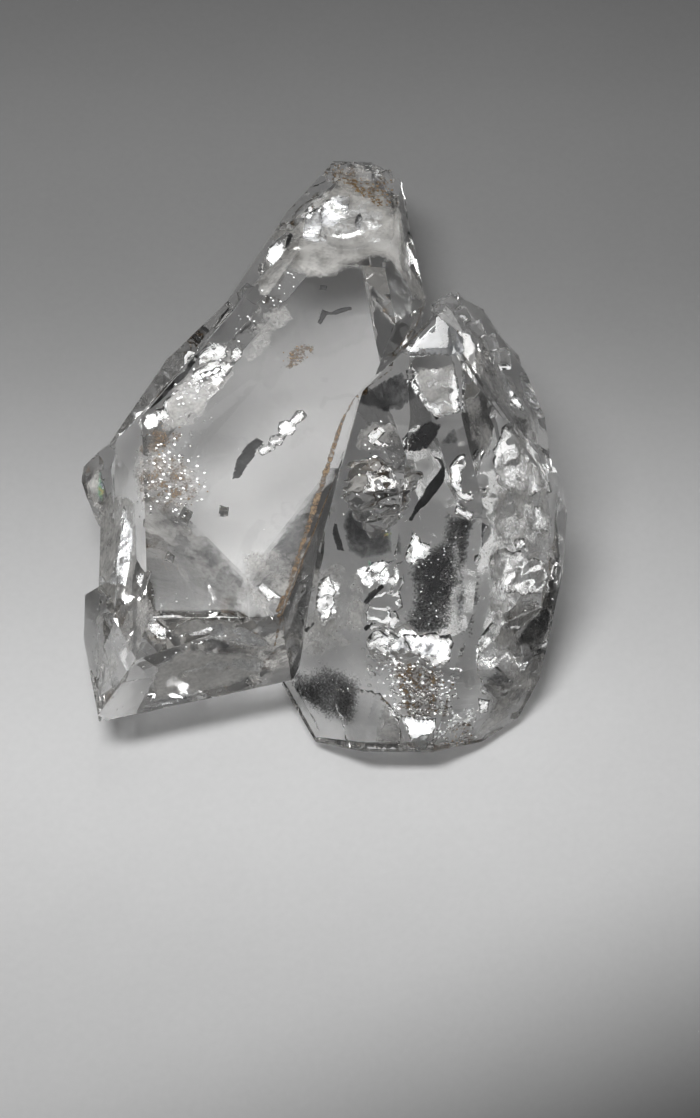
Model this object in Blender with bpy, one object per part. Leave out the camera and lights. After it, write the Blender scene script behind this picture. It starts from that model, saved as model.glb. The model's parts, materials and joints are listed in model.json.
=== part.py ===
"""A group of clear quartz crystals of the short, double-ended kind, grown together into one solid.

Metres, +Z up. The group lies on its back: the flat back face of the large left crystal and the
small flat underneath the stubby right crystal both rest at Z = 0. X runs to the right, Y runs away
from the viewer towards the broken tip. Each crystal is a block cut by its growth faces.
A face is written as its heading, its tilt and its reach:
heading: the way it looks, in degrees, 0 towards the viewer, 90 to the right, 180 to the back
tilt: how far it leans to look up, in degrees, -90 looks straight down
reach: its distance from the crystal's centre, in millimetres
"""

import math
import random

import bmesh
import bpy
from mathutils import Euler, Vector

MM = 0.001
BLOCK = 60.0            # side of the block that a crystal is cut from
SLAB_THICKNESS = 8.4    # large left crystal, from its back face to its top face

GROUP_MIDDLE = (0.0, 2.02, 0.0)    # middle of the whole group's outline, which becomes the origin

# Centres of the crystals, in millimetres
SLAB_CENTRE = (-3.0, 0.0, SLAB_THICKNESS / 2)
UPPER_LEDGE_CENTRE = (-0.6, 11.6, 4.6)
MIDDLE_LEDGE_CENTRE = (-7.0, 4.7, 4.4)
STUB_CENTRE = (5.5, -5.0, 8.0)
WEDGE_CENTRE = (9.0, 2.0, 8.0)
TOE_CENTRE = (-9.0, -10.5, 2.5)
FOOT_CENTRE = (-11.2, -9.0, 3.0)
BUD_CENTRE = (-11.4, -1.0, 4.4)

# Large left crystal, a flat one lying on its back face
SLAB_FACES = {
    "top face": (0, 90, SLAB_THICKNESS / 2),
    "back face": (0, -90, SLAB_THICKNESS / 2),
    "left prism": (-87, 30, 7.5),
    "left prism under": (-92, -30, 7.3),
    "upper left": (-126, 26, 6.6),
    "upper left under": (-126, -28, 6.7),
    "tip slope": (174, 66, 7.9),
    "tip break": (178, 50, 11.8),
    "tip end": (180, -10, 19.2),
    "right side": (99, 32, 8.7),
    "right side under": (99, -30, 8.1),
    "seam side": (71, 8, 5.0),
    "lower bevel": (0, 52, 10.2),
    "lower face": (13, 11, 11.48),
    "lower face under": (14, -38, 10.22),
    "back facet left": (-48, -63, 5.95),
    "back facet right": (56, -63, 4.95),
}

# Lower left corner of the large crystal, which hangs down again behind the back facets
TOE_FACES = {
    "left prism": (-87, 30, 2.6),
    "left prism under": (-92, -30, 1.5),
    "lower bevel": (0, 52, 5.0),
    "lower face": (13, 11, 3.1),
    "lower face under": (14, -38, 2.28),
    "top": (0, 90, 3.0),
    "bottom": (0, -90, 2.0),
    "inside": (132, 10, 0.95),
}

# Two growth ledges along the upper left edge of the large crystal
UPPER_LEDGE_FACES = {
    "outer upper": (-127, 22, 3.1),
    "outer lower": (-119, 20, 2.9),
    "under": (-124, -35, 3.8),
    "top": (-30, 78, 2.8),
    "tip slope": (174, 66, 2.5),
    "tip end": (180, 10, 7.2),
    "right side": (99, 20, 3.8),
    "near end": (-35, 20, 7.5),
    "inside": (55, 0, 0.8),
    "bottom": (0, -90, 3.1),
}
MIDDLE_LEDGE_FACES = {
    "outer upper": (-131, 24, 1.8),
    "outer lower": (-120, 18, 1.7),
    "under": (-126, -30, 2.6),
    "top": (-30, 78, 2.9),
    "back": (150, 10, 5.4),
    "near end": (-60, 10, 5.4),
    "inside": (55, 0, 2.9),
    "bottom": (0, -90, 3.2),
}

# Stubby right crystal: its three front faces and the bevels round its lower edge
STUB_FACES = {
    "mirror": (-4, 72, 5.22),
    "crown front": (-2, 55, 2.96),
    "crown left": (-48, 42, 2.95),
    "mirror left": (-130, 22, 6.83),
    "mirror right": (129, 32, 7.98),
    "front": (-2, 50, 2.51),
    "left": (-51, 44, 3.3),
    "right": (49, 34, 3.55),
    "right upper": (70, 38, 3.73),
    "far right": (100, 29, 5.35),
    "seam side": (-102, 9, 5.0),
    "lower front": (0, 44, 3.12),
    "lower left": (-40, 37, 4.29),
    "lower right": (36, 30, 4.19),
    "under front": (0, -45, 11.82),
    "under right": (97, -28, 7.17),
    "under right near": (78, -30, 9.0),
    "under right corner": (36, -35, 11.7),
    "under left": (-67, -34, 11.62),
    "under back left": (-165, -66, 5.7),
    "under back right": (155, -70, 6.8),
    "rest": (0, -90, 8.0),
    "back": (165, -6, 9.6),
    "back right": (118, 0, 7.3),
}

# The crown, a second growth that stands a little proud of the stubby crystal's right shoulder
CROWN_FACES = {
    "mirror": (-4, 72, 5.19),
    "crown front": (-2, 55, 2.93),
    "crown left": (-48, 42, 2.9),
    "crown right": (62, 34, 3.1),
    "mirror left": (-130, 22, 6.78),
    "mirror right": (129, 32, 7.93),
    "front": (-2, 50, 2.46),
    "far right": (100, 29, 5.25),
    "left": (-51, 44, 3.2),
    "seam side": (-102, 9, 4.9),
    "bottom": (0, -90, 0.5),
}

# Thin wedge crystal behind the upper right edge of the stubby one
WEDGE_FACES = {
    "outer": (111, -6, 1.4),
    "outer upper": (125, 2, 1.5),
    "top": (100, 52, 1.9),
    "level": (0, 88, 3.9),
    "front end": (62, 30, 3.0),
    "near end": (20, 10, 3.7),
    "back end": (165, 12, 3.7),
    "far left": (-120, 20, 4.9),
    "inside": (-70, 0, 2.9),
    "under": (112, -42, 4.0),
    "bottom": (0, -90, 5.0),
}

# Small wedge at the lower left corner of the large crystal
FOOT_FACES = {
    "upper": (-62, 40, 1.3),
    "left side": (-95, -4, 0.9),
    "left lower": (-80, -4, 1.1),
    "far end": (-150, 22, 1.9),
    "near end": (-40, -12, 4.0),
    "near inside": (14, -20, 4.7),
    "inside": (80, 0, 0.7),
    "under": (-70, -52, 2.1),
    "bottom": (0, -90, 2.5),
}

# Small rounded crystal on the left corner of the large one
BUD_FACES = {
    "outer": (-92, -6, 0.95),
    "outer low": (-72, -8, 1.1),
    "outer up": (-128, -2, 1.0),
    "top": (-85, 55, 1.4),
    "top far": (-130, 50, 1.1),
    "top near": (-50, 48, 1.65),
    "under": (-90, -45, 1.3),
    "near end": (-35, 0, 1.75),
    "far end": (-165, 20, 1.65),
    "inside": (90, 0, 0.7),
    "bottom": (0, -90, 1.6),
}

# Shell-shaped hollows where the slope of the tip has chipped, as balls that are taken out:
# a point on the slope, the ball's radius and the depth of the hollow
SCOOPS = {
    "middle": ((1.2, 12.2, 7.25), 3.2, 0.42),
    "right": ((3.3, 12.6, 7.05), 2.2, 0.28),
    "left": ((-1.0, 12.9, 6.9), 2.8, 0.32),
}
SCOOP_SEGMENTS = 28
SCOOP_RINGS = 26

# Grains of the rough broken tip, strewn between two corners of the break
GRAIN_COUNT = 20
GRAIN_SIZES = (0.4, 0.85)
GRAIN_CORNERS = ((0.4, 17.2, 4.9), (3.5, 18.3, 4.0))

# Small steps of growth down the edge of the wedge crystal, from the first to the last
STEP_COUNT = 5
STEP_SIZE = (1.3, 0.9, 0.7)
STEP_FIRST = (6.3, 4.9, 11.7)
STEP_LAST = (8.9, 2.3, 10.9)
STEP_TURN = 35


def facing(heading, tilt):
    """The outward direction of a face."""
    turn = math.radians(heading)
    lift = math.radians(tilt)
    level = math.cos(lift)
    return Vector((math.sin(turn) * level, -math.cos(turn) * level, math.sin(lift)))


def place(name, shape):
    """Puts a finished shape into the scene as a named object, seen from the group's middle."""
    bmesh.ops.translate(shape, verts=shape.verts, vec=Vector(GROUP_MIDDLE) * -MM)
    bmesh.ops.recalc_face_normals(shape, faces=shape.faces)
    mesh = bpy.data.meshes.new(name)
    shape.to_mesh(mesh)
    shape.free()
    placed = bpy.data.objects.new(name, mesh)
    bpy.context.scene.collection.objects.link(placed)
    return placed


def crystal(name, centre, faces):
    """A block cut by each growth face in turn."""
    made = bmesh.new()
    bmesh.ops.create_cube(made, size=BLOCK * MM)
    for heading, tilt, reach in faces.values():
        outward = facing(heading, tilt)
        everything = made.verts[:] + made.edges[:] + made.faces[:]
        cut = bmesh.ops.bisect_plane(
            made,
            geom=everything,
            plane_co=outward * reach * MM,
            plane_no=outward,
            clear_outer=True,
            dist=1e-8,
        )
        rim = [part for part in cut["geom_cut"] if isinstance(part, bmesh.types.BMEdge)]
        if rim:
            bmesh.ops.contextual_create(made, geom=rim)
    bmesh.ops.translate(made, verts=made.verts, vec=Vector(centre) * MM)
    return place(name, made)


def ball(name, point, radius, depth, outward):
    """A ball that dips into a slope by its depth, with its rings round the slope's direction."""
    made = bmesh.new()
    bmesh.ops.create_uvsphere(
        made, u_segments=SCOOP_SEGMENTS, v_segments=SCOOP_RINGS, radius=radius * MM
    )
    turn = outward.to_track_quat("Z", "Y").to_matrix()
    bmesh.ops.rotate(made, verts=made.verts, matrix=turn)
    middle = Vector(point) + outward * (radius - depth)
    bmesh.ops.translate(made, verts=made.verts, vec=middle * MM)
    return place(name, made)


def brick(name, middle, size, turn):
    """A small block, for a grain of the break or a step of growth."""
    made = bmesh.new()
    bmesh.ops.create_cube(made, size=MM)
    bmesh.ops.scale(made, verts=made.verts, vec=Vector(size))
    bmesh.ops.rotate(made, verts=made.verts, matrix=turn.to_matrix())
    bmesh.ops.translate(made, verts=made.verts, vec=Vector(middle) * MM)
    return place(name, made)


def join_shape(whole, other, operation):
    """Joins a shape to the group, or takes it out, so that no inner wall is left."""
    joined = whole.modifiers.new(other.name, "BOOLEAN")
    joined.operation = operation
    joined.solver = "EXACT"
    joined.object = other
    other.hide_render = True
    other.display_type = "WIRE"


for old in list(bpy.data.objects):
    bpy.data.objects.remove(old, do_unlink=True)

cluster = crystal("quartz_cluster", SLAB_CENTRE, SLAB_FACES)
grown = [
    crystal("toe", TOE_CENTRE, TOE_FACES),
    crystal("upper_ledge", UPPER_LEDGE_CENTRE, UPPER_LEDGE_FACES),
    crystal("middle_ledge", MIDDLE_LEDGE_CENTRE, MIDDLE_LEDGE_FACES),
    crystal("stub", STUB_CENTRE, STUB_FACES),
    crystal("crown", STUB_CENTRE, CROWN_FACES),
    crystal("wedge", WEDGE_CENTRE, WEDGE_FACES),
    crystal("foot", FOOT_CENTRE, FOOT_FACES),
    crystal("bud", BUD_CENTRE, BUD_FACES),
]
for number in range(STEP_COUNT):
    along = number / (STEP_COUNT - 1)
    middle = Vector(STEP_FIRST).lerp(Vector(STEP_LAST), along)
    turn = Euler((0, 0, math.radians(STEP_TURN - number * 7)))
    grown.append(brick(f"step_{number}", middle, STEP_SIZE, turn))

chance = random.Random(3)
for number in range(GRAIN_COUNT):
    near, far = Vector(GRAIN_CORNERS[0]), Vector(GRAIN_CORNERS[1])
    across, along = number / (GRAIN_COUNT - 1), chance.random()
    middle = Vector((near.x + (far.x - near.x) * across, 0, 0))
    middle.y = near.y + (far.y - near.y) * along
    middle.z = near.z + (far.z - near.z) * along
    size = [chance.uniform(*GRAIN_SIZES) for side in range(3)]
    turn = Euler([chance.uniform(0, math.tau) for side in range(3)])
    grown.append(brick(f"grain_{number}", middle, size, turn))

for other in grown:
    join_shape(cluster, other, "UNION")

slope_heading, slope_tilt, slope_reach = SLAB_FACES["tip slope"]
slope = facing(slope_heading, slope_tilt)
for name, (point, radius, depth) in SCOOPS.items():
    hollow = ball("scoop_" + name, point, radius, depth, slope)
    join_shape(cluster, hollow, "DIFFERENCE")

quartz = bpy.data.materials.new("clear_quartz")
quartz.use_nodes = True
surface = quartz.node_tree.nodes["Principled BSDF"]
surface.inputs["Base Color"].default_value = (0.93, 0.94, 0.93, 1)
surface.inputs["Roughness"].default_value = 0.04
surface.inputs["Metallic"].default_value = 0.0
cluster.data.materials.append(quartz)
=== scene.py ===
import itertools
import json
import math
import random

import bmesh
import bpy
from mathutils import Matrix, Vector, noise
from mathutils.bvhtree import BVHTree

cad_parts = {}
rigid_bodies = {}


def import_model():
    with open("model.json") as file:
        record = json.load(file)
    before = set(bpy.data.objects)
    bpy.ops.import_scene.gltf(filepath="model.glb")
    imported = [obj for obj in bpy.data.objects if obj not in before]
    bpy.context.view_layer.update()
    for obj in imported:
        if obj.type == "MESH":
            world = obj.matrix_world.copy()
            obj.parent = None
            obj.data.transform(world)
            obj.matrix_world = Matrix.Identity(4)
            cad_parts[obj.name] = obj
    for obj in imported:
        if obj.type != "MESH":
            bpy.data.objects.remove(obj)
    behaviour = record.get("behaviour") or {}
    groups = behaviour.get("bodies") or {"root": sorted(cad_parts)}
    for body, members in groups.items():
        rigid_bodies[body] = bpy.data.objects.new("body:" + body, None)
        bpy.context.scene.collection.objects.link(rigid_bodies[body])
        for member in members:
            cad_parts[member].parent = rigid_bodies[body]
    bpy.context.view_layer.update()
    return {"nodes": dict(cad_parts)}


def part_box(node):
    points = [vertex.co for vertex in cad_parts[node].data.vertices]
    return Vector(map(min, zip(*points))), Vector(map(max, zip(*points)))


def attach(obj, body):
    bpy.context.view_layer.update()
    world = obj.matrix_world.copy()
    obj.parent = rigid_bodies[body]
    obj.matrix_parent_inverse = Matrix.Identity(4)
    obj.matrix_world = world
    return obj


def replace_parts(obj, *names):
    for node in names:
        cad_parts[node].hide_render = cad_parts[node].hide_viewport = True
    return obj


# A group of clear quartz crystals that lies on its back on pale paper, under one soft lamp.
# Lengths are in millimetres where a name says nothing else. Points of the photograph are its pixels.

MM = 0.001
QUARTZ_INDEX = 1.544
LEVEL_LIGHT = 0.55      # share of the lamp's light that goes straight on where it meets a face squarely
STEEP_LIGHT = 0.08      # the same where it meets a face at a slant, and is mostly turned aside
SLANT_RANGE = (0.06, 0.28)    # where a face starts and ends to count as slanting, from 0 to 1
QUARTZ_HAZE = 13        # how strongly a metre of quartz dims the light
HAZE_COLOUR = (0.52, 0.50, 0.46)

# The photograph's camera, which looks down at the group from in front
PHOTO_SIZE = (700, 1118)
CAMERA_PLACE = (1.402, -100.638, 179.078)
CAMERA_TILT = 28
LENS = 124
FILM = 36

# The lamp, nearly overhead and a little to the left
LAMP_WAY = (-0.24, 0.0, 1.0)
LAMP_AIM = (0, -6, 0)
LAMP_DISTANCE = 270
LAMP_SIZE = (160, 62)
LAMP_POWER = 0.0540
LAMP_SPREAD = 60

# A weak panel above and behind, which the level faces mirror
PANEL_WAY = (0.0, 0.53, 1.0)
PANEL_DISTANCE = 270
PANEL_SIZE = (80, 115)
PANEL_POWER = 0.027
PANEL_SPREAD = 180

# The dim room, brighter on the side where it faces this way
ROOM_BRIGHT_WAY = (0.5, -0.7, 0.5)
ROOM_DARK = 0.02
ROOM_BRIGHT = 0.19
ROOM_REACH = (-0.6, 0.8)

# The paper: its painted light, tones that stand in for the lamp's pool from the viewer's side to the
# far side, each at a share of its reach, and its painted shade in the near right corner and right side
FLOOR_SIDE = 1500       # half of the floor's width
FLOOR_DROP = 0.03       # gap between the paper and the group
PAPER_PAINTED_LIGHT_REACH = (-40, 35)
PAPER_PAINTED_LIGHT_TONES = [
    (0.00, 0.68), (0.06, 0.70), (0.18, 0.80), (0.26, 0.90), (0.34, 0.90), (0.42, 0.77),
    (0.51, 0.63), (0.60, 0.43), (0.70, 0.32), (0.80, 0.31), (0.88, 0.27), (1.00, 0.19),
]
# Painted shade: the near right corner and the right side of the paper
PAPER_PAINTED_SHADE_CORNER_WAY = (0.4, -1, 0)
PAPER_PAINTED_SHADE_CORNER_REACH = (28, 51)
PAPER_PAINTED_SHADE_RIGHT_REACH = (6, 22)
PAPER_PAINTED_SHADE_RIGHT_TONE = 0.92

# Skin of the group
CUT_STEP = 0.45         # spacing of the planes that cut the faces fine
SHARP_EDGE = 14         # edges that turn more than this stay sharp, in degrees
WAVE = 0.006            # height of the slow waves on the faces
WEAR = 0.025            # depth of the wear along the edges
WAVE_SEED = 1
WAVE_LENGTH = 2.6
WEAR_LENGTH = 0.9
CLEAR = 0.12            # least distance of a crack from the faces, along the line of sight
SIGHT_REACH = 205       # from the camera to the middle of the group

# Cracks, flakes and veils: the size of their mesh, their thickness and the length of their ripples
SMALL_CRACK = 45        # a crack less wide than this in the photograph is cut finer
FINE_MESH = 0.16
VEIL_MESH = 0.2
COARSE_MESH = 0.24
CRACK_GAP = 0.03
FLAKE_THICKNESS = 0.03
FLAKE_RIPPLE = 0.03
VEIL_THICKNESS = 0.02
SHORT_RIPPLE = 0.7
LONG_RIPPLE = 1.0
RIM = 0.2               # distance over which a sheet thins out to its rim
SHARP_RIM = 0.05        # distance over which a dense sheet fades
RAGGED_STEP = 0.3       # spacing of the points on a ragged outline

# Cracks inside the quartz that mirror the lamp: depth, ripple, ragged, outline
BRIGHT_CRACKS = {
    "tip_glare": (0.7, 0.006, 0.02, [(323, 214), (326, 200), (350, 195), (348, 211), (336, 225)]),
    "tip_haze": (0.6, 0.012, 0.05, [(302, 242), (305, 214), (322, 205), (320, 236), (311, 258)]),
    "tip_chip": (0.5, 0.010, 0.02, [(307, 206), (314, 205), (312, 212), (308, 212)]),
    "tip_lens": (0.4, 0.006, 0.02, [
        (264, 262), (268, 248), (279, 238), (288, 231), (284, 245), (278, 258), (270, 263),
    ]),
    "small_lens": (0.6, 0.010, 0.05, [
        (230, 360), (231, 349), (238, 346), (243, 349), (242, 357), (236, 362),
    ]),
    "bar": (0.6, 0.006, 0.05, [(199, 374), (221, 366), (220, 371), (203, 379)]),
    "bubbly_edge": (0.5, 0.030, 0.08, [
        (200, 352), (212, 342), (226, 344), (228, 356), (214, 362), (198, 366),
    ]),
    "foil": (1.4, 0.080, 0.22, [
        (258, 452), (270, 436), (286, 420), (303, 410), (308, 416), (296, 430), (276, 446), (262, 456),
    ]),
    "left_streak": (0.8, 0.008, 0.02, [(121, 540), (121, 515), (124, 505), (128, 515), (126, 540)]),
    "left_flame": (0.8, 0.008, 0.02, [
        (122, 580), (124, 555), (130, 535), (134, 550), (133, 575), (127, 584),
    ]),
    "foot_lens": (0.25, 0.008, 0.02, [(98, 572), (103, 576), (112, 598), (108, 602), (100, 588)]),
    "corner_spark": (0.6, 0.020, 0.10, [
        (136, 574), (145, 573), (148, 584), (142, 590), (137, 584),
    ]),
    "lower_flash": (0.8, 0.030, 0.15, [(145, 615), (152, 612), (168, 628), (166, 638), (150, 632)]),
    "wave_left": (0.9, 0.030, 0.10, [
        (182, 628), (190, 622), (208, 622), (216, 634), (206, 638), (190, 636),
    ]),
    "wave_right": (0.9, 0.040, 0.10, [
        (210, 632), (240, 626), (262, 636), (272, 646), (250, 646), (222, 640),
    ]),
    "white_corner": (1.2, 0.020, 0.10, [
        (255, 587), (262, 582), (286, 598), (284, 606), (268, 602),
    ]),
    "band_left": (3.0, 0.030, 0.20, [
        (366, 640), (380, 630), (404, 634), (412, 650), (384, 654), (370, 650),
    ]),
    "band_right": (3.0, 0.040, 0.20, [
        (404, 634), (440, 637), (464, 638), (460, 664), (440, 668), (410, 652),
    ]),
    "low_patch": (1.0, 0.015, 0.10, [
        (400, 716), (436, 718), (434, 740), (424, 750), (414, 748), (408, 734),
    ]),
    "low_chip": (0.4, 0.010, 0.05, [(302, 724), (316, 722), (320, 732), (308, 737)]),
    "white_run": (2.5, 0.040, 0.15, [
        (452, 462), (466, 452), (478, 480), (474, 500), (460, 498), (450, 484),
    ]),
    "yellow_bar": (1.5, 0.008, 0.05, [(456, 505), (474, 512), (472, 522), (454, 514)]),
    "crown_wedge": (1.2, 0.010, 0.03, [(409, 380), (414, 378), (421, 392), (416, 396)]),
    "crown_spot": (1.5, 0.010, 0.05, [(447, 403), (457, 402), (458, 413), (448, 415)]),
    "left_threads": (1.5, 0.030, 0.08, [
        (368, 434), (390, 422), (396, 426), (378, 440), (394, 444), (388, 448), (368, 442),
    ]),
    "left_spark": (1.0, 0.010, 0.03, [(402, 438), (408, 436), (409, 447), (403, 448)]),
    "left_patch": (2.0, 0.030, 0.10, [
        (316, 600), (320, 580), (330, 574), (336, 592), (332, 618), (320, 622),
    ]),
    "middle_patch": (3.0, 0.040, 0.15, [
        (394, 560), (398, 534), (412, 530), (430, 544), (426, 560), (410, 566),
    ]),
    "middle_sparks": (2.0, 0.030, 0.10, [
        (364, 572), (372, 562), (394, 560), (396, 568), (380, 574),
    ]),
    "right_streak": (0.6, 0.006, 0.02, [
        (497, 367), (502, 372), (522, 404), (523, 412), (512, 404), (500, 382),
    ]),
    "far_streak": (0.9, 0.006, 0.02, [
        (520, 376), (526, 376), (540, 404), (548, 428), (540, 426), (524, 396),
    ]),
    "far_chip": (0.9, 0.010, 0.03, [(545, 457), (554, 462), (552, 474), (547, 468)]),
    "right_white": (2.0, 0.030, 0.15, [(524, 512), (540, 506), (550, 516), (548, 532), (532, 530)]),
    "right_dot": (1.0, 0.010, 0.05, [(514, 540), (524, 538), (526, 548), (516, 550)]),
    "mid_rugged": (2.6, 0.060, 0.20, [(362, 496), (366, 470), (392, 466), (400, 490), (384, 504)]),
    "low_mid_rugged": (2.2, 0.060, 0.15, [
        (366, 600), (392, 572), (402, 600), (396, 632), (370, 630),
    ]),
    "right_rugged": (1.8, 0.038, 0.15, [
        (492, 450), (506, 424), (536, 450), (552, 492), (524, 494), (500, 486),
    ]),
    "right_mid_rugged": (1.8, 0.060, 0.20, [
        (490, 556), (506, 548), (544, 562), (552, 592), (522, 596), (496, 588),
    ]),
    "right_low_rugged": (1.6, 0.060, 0.15, [
        (478, 640), (500, 610), (520, 640), (548, 650), (536, 690), (500, 700), (480, 690),
    ]),
    "front_rugged": (1.6, 0.050, 0.10, [
        (330, 690), (372, 690), (400, 720), (400, 748), (350, 748),
    ]),
    "crown_rugged": (1.2, 0.040, 0.08, [
        (412, 370), (456, 368), (460, 412), (436, 420), (418, 398),
    ]),
    "left_rough": (1.0, 0.050, 0.10, [
        (150, 420), (180, 384), (210, 360), (236, 362), (214, 396), (180, 426),
    ]),
    "base_white": (1.5, 0.020, 0.08, [(478, 698), (490, 700), (488, 712), (480, 714)]),
}

# Cracks that throw the view out to the dark room: depth, heading, tilt, ripple, ragged, outline
DARK_CRACKS = {
    "tip_spot": (2.0, 150, 44, 0.02, 0.05, [(258, 272), (260, 262), (266, 262), (266, 274)]),
    "chip_a": (4.0, 105, 44, 0.02, 0.05, [(218, 516), (220, 505), (229, 507), (228, 516)]),
    "chip_b": (4.0, 105, 44, 0.02, 0.05, [(174, 522), (184, 506), (193, 512), (188, 526)]),
    "chip_c": (1.0, 120, 56, 0.02, 0.05, [(164, 560), (168, 551), (175, 556), (173, 563)]),
    "clutter_low": (2.6, 120, 56, 0.040, 0.20, [
        (496, 640), (506, 612), (530, 600), (552, 610), (546, 644), (520, 660),
    ]),
    "clutter_mid": (2.4, 210, 56, 0.040, 0.20, [
        (344, 500), (350, 462), (378, 456), (404, 470), (400, 520), (372, 540),
    ]),
}

# Black carbon flakes: depth, ragged, outline
FLAKES = {
    "curved_flake": (0.9, 0.03, [
        (430, 454), (442, 459), (446, 468), (446, 478), (438, 491), (430, 501), (420, 511), (409, 526),
        (409, 518), (418, 500), (426, 487), (434, 477), (439, 470), (441, 466), (437, 460),
    ]),
    "slab_flake": (1.2, 0.05, [
        (232, 480), (236, 460), (246, 444), (257, 436), (264, 442), (252, 460), (240, 478),
    ]),
    "long_flake": (1.0, 0.05, [
        (150, 411), (152, 400), (180, 371), (206, 343), (209, 346), (184, 379), (158, 404),
    ]),
    "wiggle_flake": (1.0, 0.03, [
        (317, 323), (322, 309), (330, 312), (340, 308), (352, 306), (352, 310), (336, 315),
        (327, 315), (321, 325),
    ]),
    "square_flake": (0.5, 0.02, [(320, 284), (328, 286), (327, 291), (319, 290)]),
    "streak_flake": (0.8, 0.03, [
        (363, 602), (368, 593), (383, 583), (385, 587), (374, 598), (366, 605),
    ]),
    "low_streak": (0.8, 0.03, [(362, 628), (372, 621), (377, 623), (366, 632)]),
    "wedge_flake": (0.8, 0.02, [(332, 534), (335, 517), (339, 532), (345, 552), (337, 550)]),
    "tip_flake": (0.8, 0.03, [(284, 248), (290, 231), (294, 236), (289, 249)]),
    "tip_fleck": (0.8, 0.03, [(356, 234), (355, 218), (360, 210), (363, 218), (360, 232)]),
    "band_flake": (0.6, 0.03, [(302, 636), (306, 628), (314, 620), (315, 624), (308, 633)]),
}
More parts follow.
